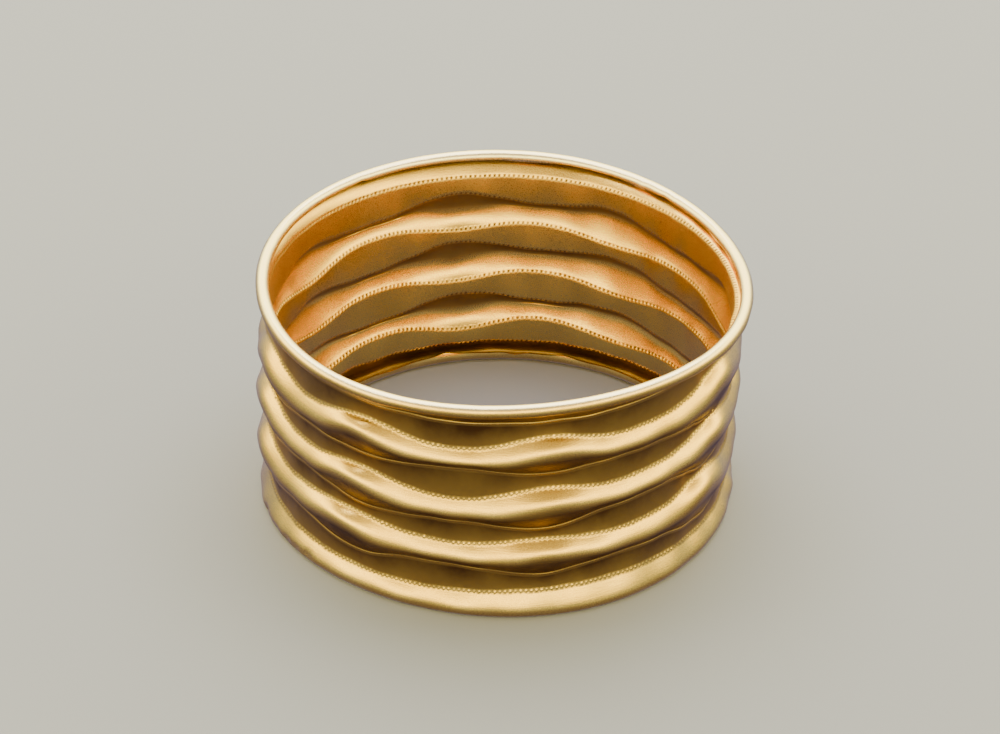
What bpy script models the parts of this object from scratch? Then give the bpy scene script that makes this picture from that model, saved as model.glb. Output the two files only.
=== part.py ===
"""Ancient gold armlet: a wide cuff raised from one piece of sheet gold.

The sheet runs up from a curled foot through three hollow ribs to a curled rim.
Each rib swells into lens shapes around the arm, as the punch left them.
Lengths are in millimetres and turn into metres where the mesh is made.
Azimuth 0 faces the viewer (-Y) and grows towards +X. The armlet stands on Z = 0.
"""

import math

import bmesh
import bpy

MM = 0.001

# The sheet and the plain bands between the ribs
SHEET = 0.45
BAND_RADIUS_FOOT = 44.8
BAND_RADIUS_RIM = 45.3
COLUMNS = 84

# Heights, from the ground up; one plain band lies under each rib and one over the last
FOOT_ZONE = 5.1
BANDS = (4.65, 5.85, 5.4, 5.9)
RIB_WIDTH = 5.1
RIM_ZONE = 4.2

# Ribs: how far they stand out, between and at the swellings
RIB_PROJECTION = 1.6
SWELLING_PROJECTION = 2.4
SWELLING_REACH = math.radians(22.5)
SWELLING_SHARPNESS = 1.45
RIB_STEPS = 4

# Where the crest sits between the two edges, how keen it is, from 1 for a plain arch, and
# how much keener where it is raised
CREST = 0.5
KEEL = 1.7
KEEL_GAIN = 3.0

# Curled rim and curled foot: tube radius, and how far its centre lies beyond the band
RIM_ROLL_RADIUS = 1.35
RIM_ROLL_OVERHANG = 1.4
RIM_START = math.radians(-62.0)
RIM_END = math.radians(190.0)
RIM_STEPS = 5
FOOT_ROLL_RADIUS = 1.7
FOOT_ROLL_OVERHANG = 0.05
FOOT_START = math.radians(-195.0)
FOOT_END = math.radians(15.0)
FOOT_FLAT = 0.9

# Hand-made unevenness, as (turns around, cosine part, sine part) with the parts in mm
OUT_OF_ROUND_FOOT = ((2, 0.9, -0.15), (3, -0.05, 0.45), (4, 0.1, 0.2))
OUT_OF_ROUND_RIM = ((2, 0.85, 0.25), (3, -0.15, -0.15), (4, 0.0, -0.15))
ROLL_DRIFT = ((1, -0.1, 0.55), (2, 0.2, 0.05))
RIM_LEVEL = ((1, -0.2, -0.15), (2, 0.35, 0.35), (3, 0.1, 0.2))
RIM_LINE_LEVEL = ((1, 0.0, 0.2), (2, -0.3, -0.05))
FOOT_LINE_LEVEL = ((1, 0.05, -0.4), (2, -0.3, 0.3), (3, 0.25, 0.5))

# One row for each rib from the lowest up: the unevenness of its lower and upper edges,
# and its swellings as (azimuth in degrees, spread down in mm, spread up in mm, how far up
# the rib its crest sits, degrees that the crest's highest point lies to one side)
RIBS = (
    {"low": ((1, 0.6, -0.55), (2, 0.45, 0.0), (3, -0.05, 0.25)),
     "high": ((1, 1.1, -0.1), (2, 0.0, -0.2), (3, -0.65, 0.2)),
     "swellings": ((-78, 2.1, 1.5, 0.76, 0), (-37, 2.1, 0.7, 0.88, -3), (9, 1.7, 1.2, 0.68, 3),
                   (58, 1.6, 2.0, 0.82, 0), (103, 1.8, 1.3, 0.72, 0), (150, 1.6, 1.3, 0.72, 0),
                   (190, 2.4, 1.8, 0.7, 0), (234, 1.9, 1.4, 0.72, 0))},
    {"low": ((1, 0.35, 0.35), (2, -0.2, 0.15), (3, -0.25, 0.2)),
     "high": ((1, 0.15, 0.45), (2, -0.15, -0.05), (3, -0.55, 0.2)),
     "swellings": ((-76, 1.8, 2.3, 0.76, 0), (-33, 1.2, 1.7, 0.88, -4), (10, 1.7, 2.0, 0.72, 3),
                   (61, 2.6, 1.8, 0.82, 0), (101, 1.5, 1.6, 0.72, 0), (149, 1.7, 1.5, 0.72, 0),
                   (192, 1.8, 2.1, 0.7, 0), (235, 2.0, 1.8, 0.72, 0))},
    {"low": ((1, 0.0, -0.05), (2, 0.6, 0.35), (3, 0.2, -0.05)),
     "high": ((1, 0.1, 0.4), (2, -0.05, -0.05), (3, -0.35, -0.1)),
     "swellings": ((-72, 1.5, 2.3, 0.76, 0), (-32, 0.6, 2.0, 0.88, -4), (11, 1.2, 2.5, 0.72, 3),
                   (63, 1.6, 2.6, 0.82, 0), (103, 1.6, 2.0, 0.72, 0), (151, 1.3, 2.0, 0.72, 0),
                   (191, 1.7, 2.4, 0.7, 0), (236, 2.2, 2.0, 0.72, 0))},
)

# Worked out from the sizes above
HEIGHT = FOOT_ZONE + sum(BANDS) + RIB_WIDTH * len(RIBS) + RIM_ZONE
RIM_LINE = HEIGHT - RIM_ZONE


def wave(azimuth, terms):
    """Sum of slow waves around the armlet."""
    return sum(c * math.cos(n * azimuth) + s * math.sin(n * azimuth) for n, c, s in terms)


def band_radius(azimuth, height):
    """Outer face of the plain sheet, which is a little out of round."""
    share = height / HEIGHT
    foot = BAND_RADIUS_FOOT + wave(azimuth, OUT_OF_ROUND_FOOT)
    rim = BAND_RADIUS_RIM + wave(azimuth, OUT_OF_ROUND_RIM)
    return foot + (rim - foot) * share


def swelling(azimuth, centre):
    """1 at the middle of a swelling, falling to 0 at its reach."""
    gap = abs(math.remainder(azimuth - math.radians(centre), math.tau))
    if gap > SWELLING_REACH:
        return 0.0
    return (0.5 + 0.5 * math.cos(math.pi * gap / SWELLING_REACH)) ** SWELLING_SHARPNESS


def rib_path(index, azimuth):
    """The rib's outer face at one azimuth, from its lower edge to its upper edge.

    It is an arch between two straight sides that the crest pulls outwards: rounder
    between the swellings, and keener where the crest is raised.
    """
    rib = RIBS[index]
    base = FOOT_ZONE + sum(BANDS[:index + 1]) + RIB_WIDTH * index
    low = base + wave(azimuth, rib["low"])
    high = base + RIB_WIDTH + wave(azimuth, rib["high"])
    swell = 0.0
    crest = CREST
    for centre, drop, rise, crest_there, lean in rib["swellings"]:
        share = swelling(azimuth, centre)
        low -= drop * share
        high += rise * share
        swell += share
        crest += (crest_there - CREST) * swelling(azimuth, centre + lean)
    proud = RIB_PROJECTION + (SWELLING_PROJECTION - RIB_PROJECTION) * swell
    pull = KEEL + KEEL_GAIN * (crest - CREST)
    points = []
    for step in range(RIB_STEPS + 1):
        share = step / RIB_STEPS
        bow = 2.0 * pull * share * (1.0 - share)
        whole = bow + share ** 2 + (1.0 - share) ** 2
        height = low + (high - low) * (bow * crest + share ** 2) / whole
        out = proud * (1.0 + pull) / pull * bow / whole
        points.append((band_radius(azimuth, height) + out, height))
    return points


def foot_path(azimuth):
    """The curled foot, from its raw edge inside, under the flat, to the foot line."""
    line = FOOT_ZONE + wave(azimuth, FOOT_LINE_LEVEL)
    centre = band_radius(azimuth, FOOT_ROLL_RADIUS) + FOOT_ROLL_OVERHANG
    half_flat = FOOT_FLAT / 2
    lowest = -math.pi / 2
    angles = (FOOT_START, (FOOT_START + lowest) / 2, (FOOT_END + lowest) / 2, FOOT_END)
    curl = [(centre + FOOT_ROLL_RADIUS * math.cos(a), FOOT_ROLL_RADIUS * (1 + math.sin(a)))
            for a in angles]
    flat = [(centre - half_flat, 0.0), (centre + half_flat, 0.0)]
    return curl[:2] + flat + curl[2:] + [(band_radius(azimuth, line), line)]


def rim_path(azimuth):
    """The rim line, then the curled rim, outwards, over the top and in to its raw edge."""
    line = RIM_LINE + wave(azimuth, RIM_LINE_LEVEL)
    centre = band_radius(azimuth, HEIGHT) + RIM_ROLL_OVERHANG + wave(azimuth, ROLL_DRIFT)
    level = HEIGHT - RIM_ROLL_RADIUS + wave(azimuth, RIM_LEVEL)
    points = [(band_radius(azimuth, line), line)]
    for step in range(RIM_STEPS + 1):
        angle = RIM_START + (RIM_END - RIM_START) * step / RIM_STEPS
        radius = centre + RIM_ROLL_RADIUS * math.cos(angle)
        points.append((radius, level + RIM_ROLL_RADIUS * math.sin(angle)))
    return points


def outer_path(azimuth):
    """The outer face of the sheet at one azimuth, from foot edge to rim edge."""
    path = foot_path(azimuth)
    for index in range(len(RIBS)):
        path += rib_path(index, azimuth)
    return path + rim_path(azimuth)


def inner_path(path):
    """The same path set in by the sheet's thickness, square to the sheet."""
    inner = []
    last = len(path) - 1
    for i, (radius, height) in enumerate(path):
        before = path[max(i - 1, 0)]
        after = path[min(i + 1, last)]
        along_r = after[0] - before[0]
        along_z = after[1] - before[1]
        length = math.hypot(along_r, along_z)
        inner.append((radius - SHEET * along_z / length, height + SHEET * along_r / length))
    return inner


def section(azimuth):
    """Closed outline of the sheet at one azimuth, as points in space."""
    outer = outer_path(azimuth)
    outline = outer + inner_path(outer)[::-1]
    east = math.sin(azimuth)
    north = -math.cos(azimuth)
    return [(MM * r * east, MM * r * north, MM * z) for r, z in outline]


def gold():
    """Warm, softly polished gold."""
    material = bpy.data.materials.new("gold")
    material.use_nodes = True
    shader = material.node_tree.nodes["Principled BSDF"]
    shader.inputs["Base Color"].default_value = (0.83, 0.56, 0.22, 1.0)
    shader.inputs["Metallic"].default_value = 1.0
    shader.inputs["Roughness"].default_value = 0.32
    return material


def to_middle(verts):
    """The move that brings the middle of the outline, seen from above, over the origin."""
    xs = [vert.co.x for vert in verts]
    ys = [vert.co.y for vert in verts]
    return (-(min(xs) + max(xs)) / 2, -(min(ys) + max(ys)) / 2, 0.0)


def make_armlet():
    """Join the sections into one closed body."""
    mesh = bpy.data.meshes.new("armlet")
    build = bmesh.new()
    rings = []
    for column in range(COLUMNS):
        azimuth = math.tau * column / COLUMNS
        rings.append([build.verts.new(point) for point in section(azimuth)])
    for column, ring in enumerate(rings):
        following = rings[(column + 1) % COLUMNS]
        for i in range(len(ring)):
            j = (i + 1) % len(ring)
            build.faces.new((ring[i], following[i], following[j], ring[j]))
    bmesh.ops.recalc_face_normals(build, faces=build.faces)
    bmesh.ops.translate(build, verts=build.verts, vec=to_middle(build.verts))
    build.to_mesh(mesh)
    build.free()
    mesh.shade_smooth()
    mesh.set_sharp_from_angle(angle=math.radians(50.0))
    mesh.materials.append(gold())
    armlet = bpy.data.objects.new("armlet", mesh)
    bpy.context.scene.collection.objects.link(armlet)
    return armlet


for old in list(bpy.data.objects):
    bpy.data.objects.remove(old, do_unlink=True)
make_armlet()
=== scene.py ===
# %% [markdown]
# # A ribbed armlet of sheet gold
# The real object is one sheet of gold, raised from the inside into three hollow ribs and
# curled over at both ends. The imported model gives its true size and form. This lesson makes
# a finer skin over that form, with the punched beads, the ridge lines and the old damage,
# gives it a gold finish with brown painted shade and pale painted highlight, and sets up the
# camera and the light.
#
# Everything is in metres in the imported model's frame: +Z up, -Y towards the viewer.

# %% Load the imported model
import math
import bpy
import numpy as np
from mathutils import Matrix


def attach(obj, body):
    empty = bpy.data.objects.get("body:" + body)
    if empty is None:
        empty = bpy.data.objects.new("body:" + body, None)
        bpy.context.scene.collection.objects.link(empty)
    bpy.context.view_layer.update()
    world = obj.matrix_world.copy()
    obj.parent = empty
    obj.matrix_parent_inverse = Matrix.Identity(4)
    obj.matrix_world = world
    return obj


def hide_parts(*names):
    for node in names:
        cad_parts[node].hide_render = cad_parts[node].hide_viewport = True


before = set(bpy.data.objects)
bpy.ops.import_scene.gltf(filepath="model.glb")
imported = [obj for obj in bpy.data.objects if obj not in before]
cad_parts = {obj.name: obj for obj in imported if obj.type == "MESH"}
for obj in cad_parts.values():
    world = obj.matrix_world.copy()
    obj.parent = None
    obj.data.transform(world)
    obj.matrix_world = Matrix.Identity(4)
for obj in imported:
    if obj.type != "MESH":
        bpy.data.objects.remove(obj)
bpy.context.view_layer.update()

# %% [markdown]
# ## The camera
# The photograph looks down on the armlet from about 31 degrees, from well back, so the
# ellipses of the rim and of the foot are nearly alike. The angle, the distance and the lens
# were solved together from the lines in the photograph. A camera can be aimed with a
# constraint, but three axes written into its matrix keep the small roll exact.

# %% Set the camera
ELEVATION = math.radians(31.46)
ROLL = math.radians(-0.48)
DISTANCE = 0.7852
LENS = 147.96
LOOK_AT = np.array((-0.000605, -0.00025, 0.02577))

level_right = np.array((1.0, 0.0, 0.0))
level_up = np.array((0.0, math.sin(ELEVATION), math.cos(ELEVATION)))
backward = np.array((0.0, -math.cos(ELEVATION), math.sin(ELEVATION)))
camera_x = math.cos(ROLL) * level_right - math.sin(ROLL) * level_up
camera_y = math.sin(ROLL) * level_right + math.cos(ROLL) * level_up

placing = np.eye(4)
placing[:3, 0] = camera_x
placing[:3, 1] = camera_y
placing[:3, 2] = backward
placing[:3, 3] = LOOK_AT + DISTANCE * backward

lens_data = bpy.data.cameras.new("photo_camera")
lens_data.lens = LENS
lens_data.sensor_width = 36.0
lens_data.clip_start = 0.01
photo_camera = bpy.data.objects.new("photo_camera", lens_data)
bpy.context.scene.collection.objects.link(photo_camera)
photo_camera.matrix_world = placing.T.tolist()
bpy.context.scene.camera = photo_camera
print("camera stands at", [round(float(v), 4) for v in placing[:3, 3]])

# %% [markdown]
# ## Sizes of the sheet
# The goldsmith worked one sheet about half a millimetre thick. The skin must sit on the
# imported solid, so it starts from the same named sizes, in millimetres and radians. TO_MIDDLE
# is the small move that brings the middle of the uneven outline over the origin, as in the
# solid. The rim's roll is a little slimmer in the skin than in the solid, as the photograph
# shows it. Azimuth 0 faces the viewer and grows to the right.

# %% Name the sizes
MM = 0.001
SHEET = 0.45
BAND_RADIUS_FOOT = 44.8
BAND_RADIUS_RIM = 45.3
FOOT_ZONE = 5.1
BANDS = (4.65, 5.85, 5.4, 5.9)
RIB_WIDTH = 5.1
RIM_ZONE = 4.2
RIB_PROJECTION = 1.6
SWELLING_PROJECTION = 2.4
SWELLING_REACH = math.radians(22.5)
SWELLING_SHARPNESS = 1.45
RIM_ROLL_RADIUS = 1.35
RIM_SKIN_RADIUS = 1.27
RIM_ROLL_OVERHANG = 1.4
RIM_START = math.radians(-62.0)
RIM_END = math.radians(190.0)
FOOT_ROLL_RADIUS = 1.7
FOOT_ROLL_OVERHANG = 0.05
FOOT_START = math.radians(-195.0)
FOOT_END = math.radians(15.0)
FOOT_FLAT = 0.9
RIB_COUNT = 3
HEIGHT = FOOT_ZONE + sum(BANDS) + RIB_COUNT * RIB_WIDTH + RIM_ZONE
RIM_LINE = HEIGHT - RIM_ZONE
TO_MIDDLE = (-0.6449, -0.25)
print("height of the sheet", HEIGHT, "mm")

# %% [markdown]
# ## Hand-made unevenness
# Nothing on the armlet is quite round or level. A short sum of slow waves around the axis
# bends each line a little, and eight lens-shaped swellings on each rib push its two edges
# apart. The tables give each wave as (turns, cosine part, sine part), and each swelling as
# (azimuth, spread down, spread up, how far up the rib its crest sits, degrees by which the
# crest's highest point lies to one side).

# %% Tables of the unevenness
OUT_OF_ROUND_FOOT = ((2, 0.9, -0.15), (3, -0.05, 0.45), (4, 0.1, 0.2))
OUT_OF_ROUND_RIM = ((2, 0.85, 0.25), (3, -0.15, -0.15), (4, 0.0, -0.15))
ROLL_DRIFT = ((1, -0.1, 0.55), (2, 0.2, 0.05))
RIM_LEVEL = ((1, -0.2, -0.15), (2, 0.35, 0.35), (3, 0.1, 0.2))
RIM_LINE_LEVEL = ((1, 0.0, 0.2), (2, -0.3, -0.05))
FOOT_LINE_LEVEL = ((1, 0.05, -0.4), (2, -0.3, 0.3), (3, 0.25, 0.5))
RIBS = (
    {"low": ((1, 0.6, -0.55), (2, 0.45, 0.0), (3, -0.05, 0.25)),
     "high": ((1, 1.1, -0.1), (2, 0.0, -0.2), (3, -0.65, 0.2)),
     "swellings": ((-78, 2.1, 1.5, 0.76, 0), (-37, 2.1, 0.7, 0.84, -3), (9, 1.7, 1.2, 0.7, 3),
                   (58, 1.6, 2.0, 0.82, 0), (103, 1.8, 1.3, 0.72, 0), (150, 1.6, 1.3, 0.72, 0),
                   (190, 2.4, 1.8, 0.34, 0), (234, 1.9, 1.4, 0.72, 0))},
    {"low": ((1, 0.35, 0.35), (2, -0.2, 0.15), (3, -0.25, 0.2)),
     "high": ((1, 0.15, 0.45), (2, -0.15, -0.05), (3, -0.55, 0.2)),
     "swellings": ((-76, 1.8, 2.3, 0.76, 0), (-33, 1.2, 1.7, 0.83, -4), (10, 1.7, 2.0, 0.72, 3),
                   (61, 2.6, 1.8, 0.82, 0), (101, 1.5, 1.6, 0.72, 0), (149, 1.7, 1.5, 0.72, 0),
                   (192, 1.8, 2.1, 0.34, 0), (235, 2.0, 1.8, 0.72, 0))},
    {"low": ((1, 0.0, -0.05), (2, 0.6, 0.35), (3, 0.2, -0.05)),
     "high": ((1, 0.1, 0.4), (2, -0.05, -0.05), (3, -0.35, -0.1)),
     "swellings": ((-72, 1.5, 2.3, 0.76, 0), (-32, 0.6, 2.0, 0.83, -3), (11, 1.2, 2.5, 0.72, 3),
                   (63, 1.6, 2.6, 0.82, 0), (103, 1.6, 2.0, 0.72, 0), (151, 1.3, 2.0, 0.72, 0),
                   (191, 1.7, 2.4, 0.34, 0), (236, 2.2, 2.0, 0.72, 0))},
)


def angle_from(azimuth, degrees):
    """How far an azimuth is from one given in degrees, the short way round."""
    return (azimuth - math.radians(degrees) + math.pi) % math.tau - math.pi


def wave(azimuth, terms):
    """Sum of slow waves around the armlet."""
    return sum(c * np.cos(n * azimuth) + s * np.sin(n * azimuth) for n, c, s in terms)


def band_radius(azimuth, height):
    """Outer face of the plain sheet, a little out of round."""
    foot = BAND_RADIUS_FOOT + wave(azimuth, OUT_OF_ROUND_FOOT)
    rim = BAND_RADIUS_RIM + wave(azimuth, OUT_OF_ROUND_RIM)
    return foot + (rim - foot) * height / HEIGHT


def swelling(azimuth, centre):
    """1 at the middle of a swelling, falling to 0 at its reach."""
    gap = angle_from(azimuth, centre)
    share = 0.5 + 0.5 * np.cos(math.pi * gap / SWELLING_REACH)
    return np.where(np.abs(gap) < SWELLING_REACH, share, 0.0) ** SWELLING_SHARPNESS


print(sum(len(rib["swellings"]) for rib in RIBS), "swellings on", len(RIBS), "ribs")

# %% [markdown]
# ## The pieces of the path
# Cut the wall at one azimuth and the sheet shows as one long line: the curled foot, the
# slope above it, plain bands and ribs in turn, the flare, and the curled rim. Each stretch
# is a small function of the azimuth and of a share from 0 at its lower end to 1 at its
# upper end. Curves would be slower to bend around the axis than plain arithmetic on arrays.
# The sheet's raw edges were cut by hand, so where they end is a sum of quicker waves, with
# a few longer tongues and torn places.

# %% Curled foot and curled rim
FOOT_EDGE_WAVES = ((5, 0.03, 0.02), (9, -0.03, 0.03), (14, 0.02, 0.03), (23, 0.02, -0.02))
RIM_EDGE_WAVES = ((6, 0.05, 0.03), (11, -0.04, 0.06), (17, 0.05, 0.02), (26, -0.03, 0.03))
# (azimuth in degrees, half width in degrees, how much further the sheet curls, in radians)
RIM_LOBES = ((247.5, 2.4, 0.4), (255.8, 2.2, 0.35), (216.8, 1.8, -0.3), (143.5, 1.8, 0.35),
             (135.2, 1.8, -0.3), (113.4, 2.2, 0.25), (176.0, 3.0, 0.2))
FOOT_LOBES = ((194.3, 2.5, 0.3), (176.1, 1.8, -0.35), (163.0, 3.0, 0.25), (210.0, 4.0, -0.2))


def lobes(azimuth, marks):
    """Places where the raw edge was cut longer or has torn away."""
    total = 0.0
    for centre, wide, more in marks:
        gap = angle_from(azimuth, centre)
        total = total + more * np.exp(-(gap / math.radians(wide)) ** 2)
    return total


def curled_foot(azimuth, share):
    """From the raw edge inside, under the flat, to the outer side of the roll."""
    start = FOOT_START + wave(azimuth, FOOT_EDGE_WAVES) - lobes(azimuth, FOOT_LOBES)
    angle = start + (FOOT_END - start) * share
    centre = band_radius(azimuth, FOOT_ROLL_RADIUS) + FOOT_ROLL_OVERHANG
    out = FOOT_ROLL_RADIUS * np.cos(angle)
    height = FOOT_ROLL_RADIUS * (1.0 + np.sin(angle))
    on_flat = (np.abs(out) < FOOT_FLAT / 2) & (np.sin(angle) < 0.0)
    return centre + out, np.where(on_flat, 0.0, height)


def curled_rim(azimuth, share):
    """From the flare, outwards, over the top and in to the raw edge."""
    end = RIM_END + wave(azimuth, RIM_EDGE_WAVES) + lobes(azimuth, RIM_LOBES)
    angle = RIM_START + (end - RIM_START) * share
    centre = band_radius(azimuth, HEIGHT) + RIM_ROLL_OVERHANG + wave(azimuth, ROLL_DRIFT)
    level = HEIGHT - RIM_ROLL_RADIUS + wave(azimuth, RIM_LEVEL)
    return centre + RIM_SKIN_RADIUS * np.cos(angle), level + RIM_SKIN_RADIUS * np.sin(angle)


print(len(RIM_LOBES), "marks on the rim's raw edge,", len(FOOT_LOBES), "on the foot's")

# %% [markdown]
# The slope over the foot and the flare under the rim leave their rolls without a corner.
# A quadratic curve with its middle point on the roll's tangent does that.

# %% Slope over the foot and flare under the rim
SLOPE_EASE = 0.9
FLARE_EASE = 1.2


def eased(first, middle, last, share):
    """Quadratic curve through first and last, drawn towards middle."""
    rest = 1.0 - share
    return tuple(a * rest * rest + 2.0 * b * rest * share + c * share * share
                 for a, b, c in zip(first, middle, last))


def foot_slope(azimuth, share):
    """From the foot's roll up to the foot line."""
    first = curled_foot(azimuth, 1.0)
    middle = (first[0] - SLOPE_EASE * math.sin(FOOT_END),
              first[1] + SLOPE_EASE * math.cos(FOOT_END))
    line = FOOT_ZONE + wave(azimuth, FOOT_LINE_LEVEL)
    return eased(first, middle, (band_radius(azimuth, line), line), share)


def flare(azimuth, share):
    """From the rim line out to the rim's roll."""
    line = RIM_LINE + wave(azimuth, RIM_LINE_LEVEL)
    last = curled_rim(azimuth, 0.0)
    middle = (last[0] + FLARE_EASE * math.sin(RIM_START),
              last[1] - FLARE_EASE * math.cos(RIM_START))
    return eased((band_radius(azimuth, line), line), middle, last, share)


print("rim line in front at", round(float(flare(0.0, 0.0)[1]), 2), "mm")

# %% [markdown]
# A rib is a low arch between its two edges, higher at the swellings, and a band is the plain
# sheet between the edge of one form and the edge of the next. The arch is drawn towards a
# crest. That sits a little low between the front swellings and climbs at each of them, as
# the light on the real ones shows; at the back it sits higher. A keel of 1 is a plain arch,
# and more makes the crest keener. The bands are dished a little, so they show a soft shade.

# %% Ribs and bands
DISH = 0.14
CREST = 0.4
BACK_CREST = 0.7
CREST_SHARPNESS = 1.5
KEEL = 1.7
BACK_KEEL = 1.5
KEEL_GAIN = 1.8


def towards_back(azimuth):
    """0 in front, 1 at the back, and a smooth change between them."""
    return 0.5 - 0.5 * np.cos(azimuth)


def rib_edges(index, azimuth):
    """A rib's lower and upper edge, how far its crest stands out, and how high it sits."""
    rib = RIBS[index]
    base = FOOT_ZONE + sum(BANDS[:index + 1]) + RIB_WIDTH * index
    low = base + wave(azimuth, rib["low"])
    high = base + RIB_WIDTH + wave(azimuth, rib["high"])
    swell = 0.0
    level = CREST + (BACK_CREST - CREST) * towards_back(azimuth)
    crest = level
    for centre, drop, rise, crest_there, lean in rib["swellings"]:
        share = swelling(azimuth, centre)
        low = low - drop * share
        high = high + rise * share
        swell = swell + share
        crest = crest + ((crest_there - level)
                         * swelling(azimuth, centre + lean) ** CREST_SHARPNESS)
    proud = RIB_PROJECTION + (SWELLING_PROJECTION - RIB_PROJECTION) * swell
    return low, high, proud, crest


def rib(index):
    """The stretch over one rib, counted from the lowest."""
    def arch(azimuth, share):
        low, high, proud, crest = rib_edges(index, azimuth)
        pull = (KEEL + (BACK_KEEL - KEEL) * towards_back(azimuth)
                + KEEL_GAIN * np.maximum(crest - BACK_CREST, 0.0))
        bow = 2.0 * pull * share * (1.0 - share)
        whole = bow + share ** 2 + (1.0 - share) ** 2
        height = low + (high - low) * (bow * crest + share ** 2) / whole
        out = proud * (1.0 + pull) / pull * bow / whole
        return band_radius(azimuth, height) + out, height
    return arch


def dished(share):
    """How deep the plain bands are dished, from their edges to the middle."""
    return DISH * 4.0 * share * (1.0 - share)


def band(index):
    """The plain stretch under a rib, or over the last one."""
    def plain(azimuth, share):
        if index == 0:
            low = FOOT_ZONE + wave(azimuth, FOOT_LINE_LEVEL)
        else:
            low = rib_edges(index - 1, azimuth)[1]
        if index == len(RIBS):
            high = RIM_LINE + wave(azimuth, RIM_LINE_LEVEL)
        else:
            high = rib_edges(index, azimuth)[0]
        height = low + (high - low) * share
        return band_radius(azimuth, height) - dished(share), height
    return plain


STRETCHES = (curled_foot, foot_slope, band(0), rib(0), band(1), rib(1), band(2), rib(2),
             band(3), flare, curled_rim)
RIB_STRETCHES = (3, 5, 7)
BAND_STRETCHES = (2, 4, 6, 8)
BEADED_EDGES = (2, 4, 6, 8)
RIDGED_EDGES = (3, 5, 7, 9)
print(len(STRETCHES), "stretches from the foot's raw edge to the rim's")

# %% [markdown]
# ## Where the rows of points go
# A regular grid fine enough for the beads would need millions of faces. The grid is coarse
# along most of the path and splits five ways only in narrow strips, along the rows of beads
# and pits. A row of points notes its stretch, the margins in millimetres that it keeps clear
# of the stretch's two ends, its share of what is left between them, its lift off the path,
# and its painted light: 1 for a brown gold painted as shade in hollows, grooves and
# undersides, partly browning, 0 for clean, -1 for a pale gold painted as highlight.
# Inside, the ribs are let in and the bands let out a little, since the sheet is smoother
# on that side than the form outside.

# %% Lay out the rows
BEADS = 300
COLUMNS_PER_BEAD = 4
FINE_COLUMNS = COLUMNS_PER_BEAD * BEADS
SPLIT = 5
COLUMNS = FINE_COLUMNS // SPLIT
PIT_STRIP = (-0.1, 0.06, 0.22, 0.38)
FAINT_PIT_STRIP = (-0.28, 0.0, 0.28)
BEAD_STRIP = (-0.17, 0.0, 0.17, 0.36)
STRIP_MARGIN = 0.62
BEAD_MARGIN = 0.72
RIDGE_MARGIN = 0.85
# Inside: painted shade on the row just under each edge, and a little on the pit rows
UNDER_EDGE_SHADE = 0.6
PIT_ROW_SHADE = 0.1
# (way above or below the edge, lift, painted shade: dark in the groove over the ridge line,
# clean on the ridge), lengths in mm
RIDGE = ((-0.45, 0.0, 0.6), (-0.24, 0.02, 0.6), (-0.12, 0.13, 0.1), (-0.02, 0.14, 0.0),
         (0.08, 0.0, 0.7), (0.18, -0.12, 1.0), (0.34, -0.1, 1.0), (0.58, -0.02, 0.85))


def at_edge(edge, offset, fine, lift=0.0, browning_shade_and_sheen=0.3):
    """One row a given way above or below the edge under a stretch, with its relief."""
    row = {"fine": fine, "edge": edge, "offset": offset, "lift": lift, "browning_shade_and_sheen": browning_shade_and_sheen}
    if offset < 0.0:
        return {"stretch": edge - 1, "below": 0.0, "above": -offset, "share": 1.0, **row}
    return {"stretch": edge, "below": offset, "above": 0.0, "share": 0.0, **row}


def level_row(share):
    """No lift."""
    return 0.0


def between(stretch, below, above, count, browning_shade_and_sheen, lift=level_row):
    """Evenly spaced rows inside a stretch, clear of what lies at its two ends."""
    shares = [k / (count - 1) for k in range(count)]
    return [{"stretch": stretch, "below": below, "above": above, "share": share,
             "fine": False, "edge": None, "offset": 0.0, "lift": lift(share),
             "browning_shade_and_sheen": float(np.interp(share, *zip(*browning_shade_and_sheen)))} for share in shares]


# Painted light along each stretch, as (share of the stretch, value): above 0 a brown painted as
# shade, partly browning, below 0 a pale gold painted as highlight
CLEAN = ((0.0, 0.0), (1.0, 0.0))
# Outside bands: painted shade, darker towards the top, under the rib above
OUTER_BAND = ((0.0, 0.68), (1.0, 0.97))
# Outside ribs: painted shade on the lower part, under the crest, and painted highlight at the
# upper edge
OUTER_RIB = ((0.0, 0.9), (0.12, 0.8), (0.3, 0.35), (0.45, 0.0), (0.7, 0.0), (0.85, -0.5),
             (1.0, -0.5))
# Under the rim's roll: painted shade
OUTER_FLARE = ((0.0, 0.9), (1.0, 0.9))
# Rim's roll: painted shade on its underside and painted highlight over its top
OUTER_RIM = ((0.0, 0.8), (0.12, 0.5), (0.25, 0.0), (0.36, 0.0), (0.48, -1.0), (0.85, -1.0),
             (1.0, 0.0))
OUTER_BROWNING_SHADE_SHEEN = (CLEAN, CLEAN, OUTER_BAND, OUTER_RIB, OUTER_BAND, OUTER_RIB, OUTER_BAND,
                OUTER_RIB, OUTER_BAND, OUTER_FLARE, OUTER_RIM)
# Rows on each stretch; where a roll joins its slope, the two share a row
OUTER_COUNTS = (14, 4, 3, 9, 3, 9, 3, 9, 3, 4, 20)
ROLL_JOINTS = (1, 10)


def outer_rows():
    """Rows of the outer face: beads on the upper edges, ridge lines on the lower ones."""
    rows = []
    for stretch, count in enumerate(OUTER_COUNTS):
        below = above = 0.0
        if stretch in BEADED_EDGES:
            rows += [at_edge(stretch, offset, True) for offset in BEAD_STRIP]
            below = BEAD_MARGIN
        elif stretch in RIDGED_EDGES:
            rows += [at_edge(stretch, offset, False, lift, dark) for offset, lift, dark in RIDGE]
            below = RIDGE_MARGIN
        if stretch + 1 in BEADED_EDGES:
            above = STRIP_MARGIN
        elif stretch + 1 in RIDGED_EDGES:
            above = RIDGE_MARGIN
        first = 1 if stretch in ROLL_JOINTS else 0
        rows += between(stretch, below, above, count, OUTER_BROWNING_SHADE_SHEEN[stretch])[first:]
    return rows
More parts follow.
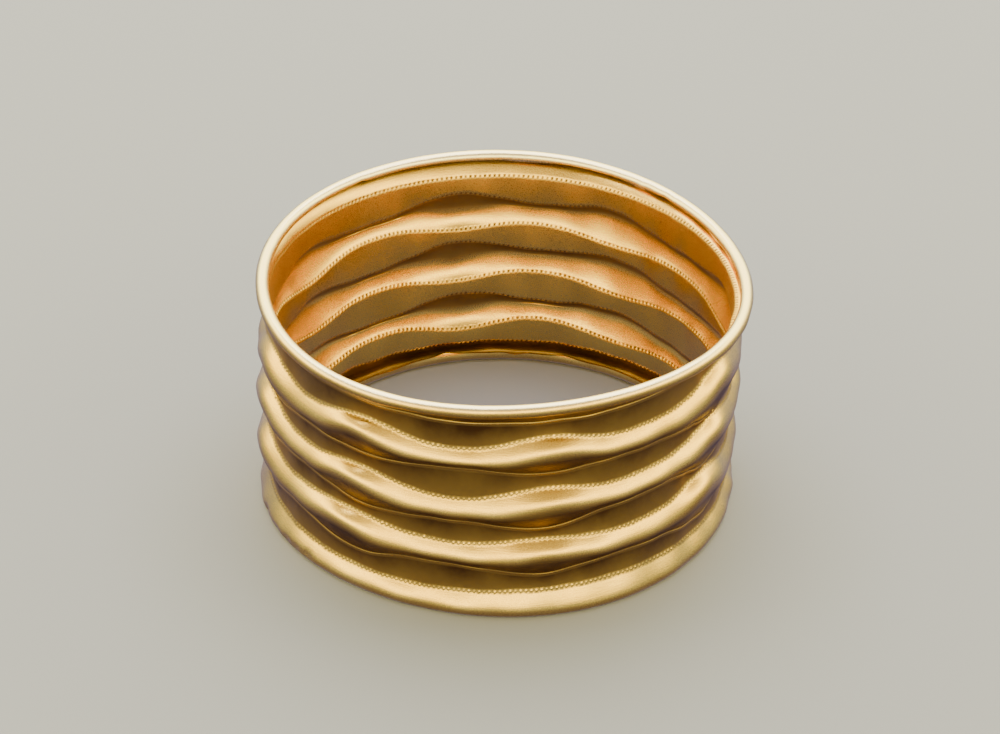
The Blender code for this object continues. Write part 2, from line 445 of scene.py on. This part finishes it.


# %% [markdown]
# The inner face follows the outer one, a sheet's thickness further in. It has a little brown
# evenly on the bands, and more painted as shade in the upper part of each hollow rib, where it
# looks down, in the foot's trough and under the rim's curl; and it has pits on every edge:
# deep ones under the ridge lines and faint ones behind the beads.

# %% Rows of the inner face
# Painted shade in the foot's trough and on the slope over it
INNER_FOOT = ((0.0, 0.2), (0.3, 0.8), (1.0, 0.9))
INNER_SLOPE = ((0.0, 0.9), (1.0, 0.7))
# A little of the brown, evenly, on the inner bands
INNER_BAND = ((0.0, 0.35), (1.0, 0.35))
# Painted shade on the upper part of each hollow rib, which looks down
INNER_RIB = ((0.0, 0.0), (0.4, 0.0), (0.6, 0.25), (0.75, 0.75), (1.0, 0.85))
# Painted shade under the rim's curl, on the flare and on the roll's inner side
INNER_FLARE = ((0.0, 0.0), (0.5, 0.1), (1.0, 0.9))
INNER_RIM = ((0.0, 0.9), (1.0, 0.3))
INNER_BROWNING_AND_SHADE = (INNER_FOOT, INNER_SLOPE, INNER_BAND, INNER_RIB, INNER_BAND, INNER_RIB,
                INNER_BAND, INNER_RIB, INNER_BAND, INNER_FLARE, INNER_RIM)
INNER_COUNTS = (10, 4, 3, 12, 3, 12, 3, 12, 3, 4, 8)
SHALLOW = 0.55


def shallower(share):
    """How far the inner face of a rib is let in, since the sheet filled the punched form."""
    return -SHALLOW * 4.0 * share * (1.0 - share)


def inner_lift(stretch):
    """The inner face's own form: ribs let in, and bands let out again by their dish."""
    if stretch in RIB_STRETCHES:
        return shallower
    if stretch in BAND_STRETCHES:
        return dished
    return level_row


def inner_rows():
    """Rows of the inner face, with pits on every edge."""
    rows = []
    for stretch, count in enumerate(INNER_COUNTS):
        below = above = 0.0
        if stretch in BEADED_EDGES + RIDGED_EDGES:
            strip = PIT_STRIP if stretch in RIDGED_EDGES else FAINT_PIT_STRIP
            for offset in strip:
                # Painted shade just under each edge, and a little on the pit rows
                browning_shade_and_sheen = UNDER_EDGE_SHADE if offset < 0.0 else PIT_ROW_SHADE
                rows.append(at_edge(stretch, offset, True, browning_shade_and_sheen=browning_shade_and_sheen))
            below = STRIP_MARGIN
        if stretch + 1 in BEADED_EDGES:
            above = STRIP_MARGIN
        elif stretch + 1 in RIDGED_EDGES:
            above = STRIP_MARGIN / 2
        first = 1 if stretch in ROLL_JOINTS else 0
        lift = inner_lift(stretch)
        rows += between(stretch, below, above, count, INNER_BROWNING_AND_SHADE[stretch], lift)[first:]
    return rows


OUTER = outer_rows()
INNER = inner_rows()
print(len(OUTER), "rows outside,", len(INNER), "rows inside,", COLUMNS, "columns")

# %% [markdown]
# ## From a row to points
# A margin in millimetres turns into a share through the speed at which the path runs at that
# end. The direction square to the sheet comes from the rows before and after, which also
# rounds the corner at each edge a little, as a real sheet would be.

# %% Points and normals of a row
STEP = 0.01


def speed(stretch, share, azimuth):
    """Millimetres of path for each unit of share, at one end of a stretch."""
    other = STEP if share == 0.0 else 1.0 - STEP
    r0, z0 = STRETCHES[stretch](azimuth, share)
    r1, z1 = STRETCHES[stretch](azimuth, other)
    return np.hypot(r1 - r0, z1 - z0) / STEP


def on_path(row, azimuth):
    """Radius and height of the smooth outer face on a row."""
    start = row["below"] / speed(row["stretch"], 0.0, azimuth)
    end = 1.0 - row["above"] / speed(row["stretch"], 1.0, azimuth)
    return STRETCHES[row["stretch"]](azimuth, start + (end - start) * row["share"])


def unit(dr, dz):
    """The same direction with length 1."""
    size = np.hypot(dr, dz)
    return dr / size, dz / size


def square_to(rows, i, azimuth):
    """Outward direction of the sheet on row i, as parts along the radius and the height."""
    here = on_path(rows[i], azimuth)
    steps = []
    if i > 0:
        before = on_path(rows[i - 1], azimuth)
        steps.append(unit(here[0] - before[0], here[1] - before[1]))
    if i + 1 < len(rows):
        after = on_path(rows[i + 1], azimuth)
        steps.append(unit(after[0] - here[0], after[1] - here[1]))
    along = unit(sum(s[0] for s in steps), sum(s[1] for s in steps))
    return along[1], -along[0]


in_front = np.zeros(1)
top_row = on_path(OUTER[-1], in_front)
print("raw edge of the rim in front at", round(float(top_row[1][0]), 2), "mm")

# %% [markdown]
# ## Relief: beads, pits, dents and hammering
# The beads were punched from inside, so a bead outside answers a pit inside. Each takes four
# columns of the fine strip: two high ones between two low ones. Their height varies from one
# to the next, from a fixed seed, so every run makes the same armlet.
# Slow ripples and a short list of dents and nicks move both faces of the sheet together. A
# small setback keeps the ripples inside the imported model's box.

# %% Beads and pits
chance = np.random.default_rng(31)
BEAD_HEIGHT = 0.2
PIT_DEPTH = 0.2
FAINT_PIT_DEPTH = 0.14
BEAD_VARIETY = 0.16
BEAD_WANDER = 0.03
EDGES = range(2, 10)
bead_size = {edge: 1.0 + BEAD_VARIETY * chance.standard_normal(BEADS) for edge in EDGES}
bead_shift = {edge: BEAD_WANDER * chance.standard_normal(BEADS) for edge in EDGES}
# A bead's four columns: how far each moves, as a share of a column, and how high it is
TILE_SHIFT = (0.0, 0.2, -0.2, 0.0)
TILE_HEIGHT = (0.0, 1.0, 1.0, 0.0)
# How high beads and pits are on a row, by the row's way from its edge
ROW_HEIGHT = {0.0: 1.0, 0.06: 1.0, 0.17: 0.9, 0.22: 0.9}


def fine_azimuth(edge):
    """Azimuths of the fine columns, with each bead moved a little from its even place."""
    closer = np.tile(TILE_SHIFT, BEADS) / FINE_COLUMNS
    even = np.arange(FINE_COLUMNS) / FINE_COLUMNS
    wander = np.repeat(bead_shift[edge], COLUMNS_PER_BEAD) / BEADS
    return math.tau * (even + closer + wander)


def bead_profile(row):
    """Height of each fine column on this row, 1 at the top of a full bead."""
    top = np.tile(TILE_HEIGHT, BEADS) * np.repeat(bead_size[row["edge"]], COLUMNS_PER_BEAD)
    return ROW_HEIGHT.get(row["offset"], 0.0) * top


print(BEADS, "beads in each row, of height", BEAD_HEIGHT, "mm")

# %% [markdown]
# Hammering left the sheet wavy, and use left dents. A sum of quick low waves, drawn from the
# same fixed seed, gives the first. The dents are soft pits placed where the
# photograph shows them. A displacement texture would do, but these move the real points.

# %% Ripples and dents
RIPPLES = 26
RIPPLE_HEIGHT = 0.05
RIPPLE_FADE = 14.0
ripple_turns = chance.integers(4, 44, RIPPLES)
ripple_rise = chance.uniform(-0.55, 0.55, RIPPLES)
ripple_phase = chance.uniform(0.0, math.tau, RIPPLES)
ripple_size = RIPPLE_HEIGHT / (1.0 + ripple_turns / RIPPLE_FADE)

# (azimuth in degrees, height, half width, half height, push outwards), lengths in mm
DENTS = (
    (191.9, 23.9, 1.4, 1.0, -0.45),
    (56.0, 39.2, 1.2, 1.8, -0.25),
    (53.0, 29.7, 1.1, 1.8, -0.25),
    (51.7, 19.2, 1.1, 1.8, -0.22),
    (-4.5, 46.7, 0.8, 0.8, -0.4),
    (-74.2, 1.3, 1.1, 0.8, -0.7),
    (-66.0, 1.0, 0.9, 0.6, -0.5),
    (-60.4, 1.2, 1.0, 0.8, -0.65),
    (-56.0, 1.4, 0.8, 0.6, -0.5),
    (-51.5, 1.6, 1.0, 0.8, -0.6),
)


def push(azimuth, height):
    """How far hammering and dents move the sheet outwards."""
    total = 0.0
    for turns, rise, phase, size in zip(ripple_turns, ripple_rise, ripple_phase, ripple_size):
        total = total + size * np.sin(turns * azimuth + rise * height + phase)
    for centre, level, wide, tall, depth in DENTS:
        gap = angle_from(azimuth, centre)
        far = (gap * BAND_RADIUS_FOOT / wide) ** 2 + ((height - level) / tall) ** 2
        total = total + depth * np.exp(-far)
    return total


print(RIPPLES, "ripples and", len(DENTS), "dents and nicks")

# %% [markdown]
# ## Build the skin
# Each face of the sheet becomes a stack of rings. Rings with the same number of points are
# joined with quads. Where a coarse ring meets a fine one, five fine edges fan out from one
# coarse edge. The raw edges at foot and rim join the two faces, so the skin is one closed
# body like the real sheet.

# %% Rings of both faces
EVEN = math.tau * np.arange(COLUMNS) / COLUMNS + math.tau * (SPLIT - 1) / 2 / FINE_COLUMNS
FOOT_CALM = 1.2
RIM_CALM = 0.85
RIM_CALM_DEPTH = 3.0
RIM_CALM_FADE = 1.5
SETBACK = 0.07
# Painted shade in the punched pits inside
PIT_HOLLOW_SHADE = 0.9
# Painted shade on outer rib faces that look down: the tilt where it starts, and how fast it
# comes in
UNDERSIDE_START = 0.1
UNDERSIDE_FADE = 0.22


def calm_near_ends(height):
    """0 on the ground and little near the rim, so that ripples leave both ends even."""
    foot = np.clip(height / FOOT_CALM - 0.2, 0.0, 1.0)
    rim = np.clip((height - HEIGHT + RIM_CALM_DEPTH) / RIM_CALM_FADE, 0.0, 1.0)
    return foot * (1.0 - RIM_CALM * rim)


def underside(out_z):
    """1 where the face looks well down, 0 where it looks level or up."""
    return np.clip((-out_z - UNDERSIDE_START) / UNDERSIDE_FADE, 0.0, 1.0)


def ring(rows, i, inside):
    """Azimuth, radius, height and painted light (brown shade, pale highlight) of every point on
    row i.
    """
    row = rows[i]
    azimuth = fine_azimuth(row["edge"]) if row["fine"] else EVEN
    radius, height = on_path(row, azimuth)
    out_r, out_z = square_to(rows, i, azimuth)
    lift = (push(azimuth, height) - SETBACK) * calm_near_ends(height) + row["lift"]
    browning_shade_and_sheen = np.full(len(azimuth), row["browning_shade_and_sheen"])
    # Outside ribs: painted shade wherever the face looks down
    if row["stretch"] in RIB_STRETCHES and not inside:
        browning_shade_and_sheen = np.maximum(browning_shade_and_sheen, underside(out_z))
    if row["fine"]:
        punched = bead_profile(row)
        if inside:
            deep = PIT_DEPTH if row["edge"] in RIDGED_EDGES else FAINT_PIT_DEPTH
            lift = lift + deep * punched
            # Inside: painted shade in each pit
            browning_shade_and_sheen = browning_shade_and_sheen + PIT_HOLLOW_SHADE * punched
        else:
            lift = lift + BEAD_HEIGHT * punched
            # Outside: the tops of the beads are kept clear of the painted shade
            browning_shade_and_sheen = browning_shade_and_sheen * (1.0 - punched)
    if inside:
        lift = lift - SHEET
    return azimuth, radius + out_r * lift, height + out_z * lift, browning_shade_and_sheen


rings = [ring(OUTER, i, False) for i in range(len(OUTER))]
rings += [ring(INNER, i, True) for i in reversed(range(len(INNER)))]
points = []
starts = []
for azimuth, radius, height, browning_shade_and_sheen in rings:
    starts.append(sum(len(p) for p in points))
    points.append(np.stack((radius * np.sin(azimuth) + TO_MIDDLE[0],
                            -radius * np.cos(azimuth) + TO_MIDDLE[1], height), axis=1) * MM)
points = np.concatenate(points)
browning_shade_and_sheen = np.clip(np.concatenate([r[3] for r in rings]), -1.0, 1.0)
print(len(points), "points in", len(rings), "rings")

# %% [markdown]
# The rings are joined in the order of the path, and the last one to the first. All faces
# keep the same turn, so their normals point out of the metal on both sides of the sheet.

# %% Faces between the rings


def join(first, second):
    """Faces between two rings, given as (start, size)."""
    (a, size_a), (b, size_b) = first, second
    faces = []
    if size_a == size_b:
        for k in range(size_a):
            n = (k + 1) % size_a
            faces.append((a + k, a + n, b + n, b + k))
        return faces
    coarse, fine, flip = (a, b, False) if size_a < size_b else (b, a, True)
    for k in range(COLUMNS):
        c0 = coarse + k
        c1 = coarse + (k + 1) % COLUMNS
        f = [fine + (k * SPLIT + j + SPLIT // 2) % FINE_COLUMNS for j in range(SPLIT + 1)]
        fan = [(c0, f[1], f[0]), (c0, f[2], f[1]), (c0, c1, f[3], f[2]),
               (c1, f[4], f[3]), (c1, f[5], f[4])]
        faces += [face[::-1] for face in fan] if flip else fan
    return faces


sizes = [len(r[0]) for r in rings]
faces = []
for i in range(len(rings)):
    j = (i + 1) % len(rings)
    faces += join((starts[i], sizes[i]), (starts[j], sizes[j]))
triangles = sum(len(face) - 2 for face in faces)
print(len(faces), "faces,", triangles, "triangles")

# %% [markdown]
# Smooth shading hides the facets. Only edges sharper than the limit, such as the sheet's
# raw edges, stay crisp. The brown painted shade and the pale painted highlight go onto the
# points as an attribute, for the shader to read.

# %% Make the object
SHARP_ANGLE = math.radians(65.0)
skin = bpy.data.meshes.new("armlet_skin")
skin.from_pydata(points.tolist(), [], faces)
skin.validate()
skin.shade_smooth()
skin.attributes.new("browning_shade_and_sheen", "FLOAT", "POINT").data.foreach_set("value", browning_shade_and_sheen)
skin.set_sharp_from_angle(angle=SHARP_ANGLE)
armlet_skin = bpy.data.objects.new("armlet_skin", skin)
bpy.context.scene.collection.objects.link(armlet_skin)
print("skin measures", [round(v / MM, 2) for v in armlet_skin.dimensions], "mm")

# %% [markdown]
# ## The gold
# Old high-carat gold is a warm metal with a soft satin skin. Metals have no diffuse colour:
# all that shows is what they mirror, tinted. So the finish is a metallic shader with a gold
# tint that drifts a little from place to place, and the cells after this one add a brown
# painted as shade, partly browning, a pale gold painted as highlight, and the scratches.

# %% Gold material
DEEP_GOLD = (0.82, 0.465, 0.065, 1.0)
LIGHT_GOLD = (0.90, 0.55, 0.095, 1.0)
# Brown painted as shade in hollows, grooves and undersides, partly browning
BROWNED_SHADE_GOLD = (0.112, 0.048, 0.011, 1.0)
# Pale gold painted as highlight on the rim's top and the ribs' upper edges
PALE_HIGHLIGHT_GOLD = (0.94, 0.76, 0.4, 1.0)
gold = bpy.data.materials.new("worked_gold")
gold.use_nodes = True
nodes = gold.node_tree.nodes
links = gold.node_tree.links
shader = nodes["Principled BSDF"]
shader.inputs["Metallic"].default_value = 1.0


def new_node(kind, **inputs):
    """One shader node with named input values."""
    node = nodes.new(kind)
    for name, value in inputs.items():
        node.inputs[name.replace("_", " ")].default_value = value
    return node


place = nodes.new("ShaderNodeTexCoord")
drift = new_node("ShaderNodeTexNoise", Scale=90.0, Detail=5.0, Roughness=0.6)
links.new(place.outputs["Object"], drift.inputs["Vector"])
tint = nodes.new("ShaderNodeValToRGB")
tint.color_ramp.elements[0].position = 0.3
tint.color_ramp.elements[0].color = DEEP_GOLD
tint.color_ramp.elements[1].position = 0.7
tint.color_ramp.elements[1].color = LIGHT_GOLD
links.new(drift.outputs["Fac"], tint.inputs["Fac"])
print("gold tint from", DEEP_GOLD[:3], "to", LIGHT_GOLD[:3])

# %% [markdown]
# A brown is painted as shade in the hollows, grooves and undersides, partly browning, and a
# pale gold is painted as highlight on the rim's top and the ribs' upper edges. The value
# mixes the tint with the brown where it is positive, unevenly, and with the pale gold where it
# is negative. It is painted by place on the sheet, so it looks the same from every side.

# %% Paint the brown shade in the hollows and the pale highlight on top
# The brown mixed in here is painted shade, partly browning
shade_and_sheen_map = nodes.new("ShaderNodeAttribute")
shade_and_sheen_map.attribute_name = "browning_shade_and_sheen"
uneven = new_node("ShaderNodeMapRange", From_Min=0.3, From_Max=0.7, To_Min=0.75, To_Max=1.1)
links.new(drift.outputs["Fac"], uneven.inputs["Value"])
amount = nodes.new("ShaderNodeMath")
amount.operation = "MULTIPLY"
amount.use_clamp = True
links.new(shade_and_sheen_map.outputs["Fac"], amount.inputs[0])
links.new(uneven.outputs["Result"], amount.inputs[1])
browned_and_shaded = nodes.new("ShaderNodeMix")
browned_and_shaded.data_type = "RGBA"
browned_and_shaded.inputs["B"].default_value = BROWNED_SHADE_GOLD
links.new(amount.outputs["Value"], browned_and_shaded.inputs["Factor"])
links.new(tint.outputs["Color"], browned_and_shaded.inputs["A"])
# The pale gold mixed in here is a painted highlight
highlight_share = nodes.new("ShaderNodeMath")
highlight_share.operation = "MULTIPLY"
highlight_share.use_clamp = True
highlight_share.inputs[1].default_value = -1.0
links.new(shade_and_sheen_map.outputs["Fac"], highlight_share.inputs[0])
painted_highlight = nodes.new("ShaderNodeMix")
painted_highlight.data_type = "RGBA"
painted_highlight.inputs["B"].default_value = PALE_HIGHLIGHT_GOLD
links.new(highlight_share.outputs["Value"], painted_highlight.inputs["Factor"])
links.new(browned_and_shaded.outputs["Result"], painted_highlight.inputs["A"])
links.new(painted_highlight.outputs["Result"], shader.inputs["Base Color"])
print("browned_and_shaded", BROWNED_SHADE_GOLD[:3], "and rubbed", PALE_HIGHLIGHT_GOLD[:3])

# %% [markdown]
# The satin skin comes from a fine grit in the roughness, and places with the brown painted shade
# are duller.
# The brush marks are a noise squeezed along the height, so it runs around the armlet, and
# they are too shallow to need points of their own.

# %% Roughness and scratches
BRUSH_SQUEEZE = 12.0
BROWN_DULLNESS = 0.22
along = new_node("ShaderNodeMapping", Scale=(1.0, 1.0, BRUSH_SQUEEZE))
links.new(place.outputs["Object"], along.inputs["Vector"])
brushed = new_node("ShaderNodeTexNoise", Scale=500.0, Detail=4.0, Roughness=0.65)
links.new(along.outputs["Vector"], brushed.inputs["Vector"])
grit = new_node("ShaderNodeTexNoise", Scale=7000.0, Detail=2.0, Roughness=0.6)
links.new(place.outputs["Object"], grit.inputs["Vector"])
rough = new_node("ShaderNodeMapRange", From_Min=0.4, From_Max=0.6, To_Min=0.18, To_Max=0.34)
links.new(grit.outputs["Fac"], rough.inputs["Value"])
duller = nodes.new("ShaderNodeMath")
duller.operation = "MULTIPLY_ADD"
duller.inputs[1].default_value = BROWN_DULLNESS
links.new(amount.outputs["Value"], duller.inputs[0])
links.new(rough.outputs["Result"], duller.inputs[2])
links.new(duller.outputs["Value"], shader.inputs["Roughness"])
bump = new_node("ShaderNodeBump", Strength=0.12, Distance=0.0002)
links.new(brushed.outputs["Fac"], bump.inputs["Height"])
links.new(bump.outputs["Normal"], shader.inputs["Normal"])
skin.materials.append(gold)
print(len(nodes), "shader nodes in the gold")

# %% [markdown]
# ## Place it in the model
# The skin rides on the model's one body and stands for its one node.

# %% Ride and replace
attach(armlet_skin, "root")
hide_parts("armlet")
print("the skin stands for the node armlet")

# %% [markdown]
# ## Floor and light
# The armlet stands on a plain pale floor in a soft light tent. A metal shows what is around
# it, so the tent matters as much as the gold. A bright belt runs all round it, from about 15
# to 40 degrees up, and gives each rib its long highlight. Above the belt the tent is dim,
# with one soft box high behind the armlet, and below the horizon it is dark and cool. The
# gold doesn't mirror the floor, which would fill its undersides with grey.

# %% Floor
FLOOR_SIZE = 4.0
floor_mesh = bpy.data.meshes.new("floor")
half = FLOOR_SIZE / 2
floor_mesh.from_pydata([(-half, -half, 0.0), (half, -half, 0.0), (half, half, 0.0),
                        (-half, half, 0.0)], [], [(0, 1, 2, 3)])
studio_floor = bpy.data.objects.new("studio_floor", floor_mesh)
bpy.context.scene.collection.objects.link(studio_floor)
paper = bpy.data.materials.new("pale_paper")
paper.use_nodes = True
paper_shader = paper.node_tree.nodes["Principled BSDF"]
paper_shader.inputs["Base Color"].default_value = (0.235, 0.238, 0.262, 1.0)
paper_shader.inputs["Roughness"].default_value = 0.9
floor_mesh.materials.append(paper)
studio_floor.visible_glossy = False
print("floor", FLOOR_SIZE, "m across")

# %% [markdown]
# The tent is the world's own light: a colour for each elevation, on a ramp over the height
# of the direction. A ramp takes heights from 0 to 1, so each elevation goes through a sine.

# %% Light tent
tent = bpy.data.worlds.new("light_tent")
tent.use_nodes = True
bpy.context.scene.world = tent
sky = tent.node_tree
direction = sky.nodes.new("ShaderNodeTexCoord")
parts = sky.nodes.new("ShaderNodeSeparateXYZ")
sky.links.new(direction.outputs["Generated"], parts.inputs["Vector"])
height_share = sky.nodes.new("ShaderNodeMapRange")
height_share.inputs["From Min"].default_value = -1.0
sky.links.new(parts.outputs["Z"], height_share.inputs["Value"])
glow = sky.nodes.new("ShaderNodeValToRGB")
# (elevation in degrees, colour of the light)
TENT_GLOW = ((-90, (0.16, 0.15, 0.28)), (-60, (0.20, 0.20, 0.38)), (-31, (0.24, 0.24, 0.48)),
             (-20, (0.36, 0.40, 0.68)), (-10, (0.47, 0.56, 0.85)), (-2, (0.62, 0.74, 0.95)),
             (4, (0.90, 1.02, 1.1)), (10, (1.6, 1.65, 1.3)), (17, (3.8, 3.6, 1.9)),
             (25, (6.8, 6.2, 2.8)), (33, (6.0, 5.5, 2.6)), (42, (1.7, 1.55, 1.0)),
             (52, (0.9, 0.8, 0.6)), (90, (0.8, 0.72, 0.6)))
while len(glow.color_ramp.elements) < len(TENT_GLOW):
    glow.color_ramp.elements.new(0.5)
for element, (elevation, colour) in zip(glow.color_ramp.elements, TENT_GLOW):
    element.position = (math.sin(math.radians(elevation)) + 1.0) / 2.0
    element.color = (*colour, 1.0)
sky.links.new(height_share.outputs["Result"], glow.inputs["Fac"])
sky.links.new(glow.outputs["Color"], sky.nodes["Background"].inputs["Color"])
sky.nodes["Background"].inputs["Strength"].default_value = 1.0
print(len(TENT_GLOW), "steps of light from the ground to overhead")

# %% [markdown]
# One soft box overhead, a little behind the armlet, brightens the floor and what faces up.
# An area light keeps its shadows soft.

# %% Soft box


def soft_box(name, at, towards, width, depth, power):
    """A rectangular area light aimed at a point."""
    data = bpy.data.lights.new(name, "AREA")
    data.shape = "RECTANGLE"
    data.size = width
    data.size_y = depth
    data.energy = power
    lamp = bpy.data.objects.new(name, data)
    bpy.context.scene.collection.objects.link(lamp)
    aim = np.array(towards, float) - np.array(at, float)
    z = -aim / np.linalg.norm(aim)
    x = np.cross((0.0, 1.0, 0.0), z)
    x = x / np.linalg.norm(x)
    turn = np.eye(4)
    turn[:3, 0], turn[:3, 1], turn[:3, 2], turn[:3, 3] = x, np.cross(z, x), z, at
    lamp.matrix_world = turn.T.tolist()
    return lamp


overhead_box = soft_box("overhead_box", at=(0.0, 0.5, 0.9), towards=(0.0, 0.5, 0.0),
                        width=1.1, depth=1.1, power=22.0)
print(overhead_box.name, "gives", overhead_box.data.energy, "W")
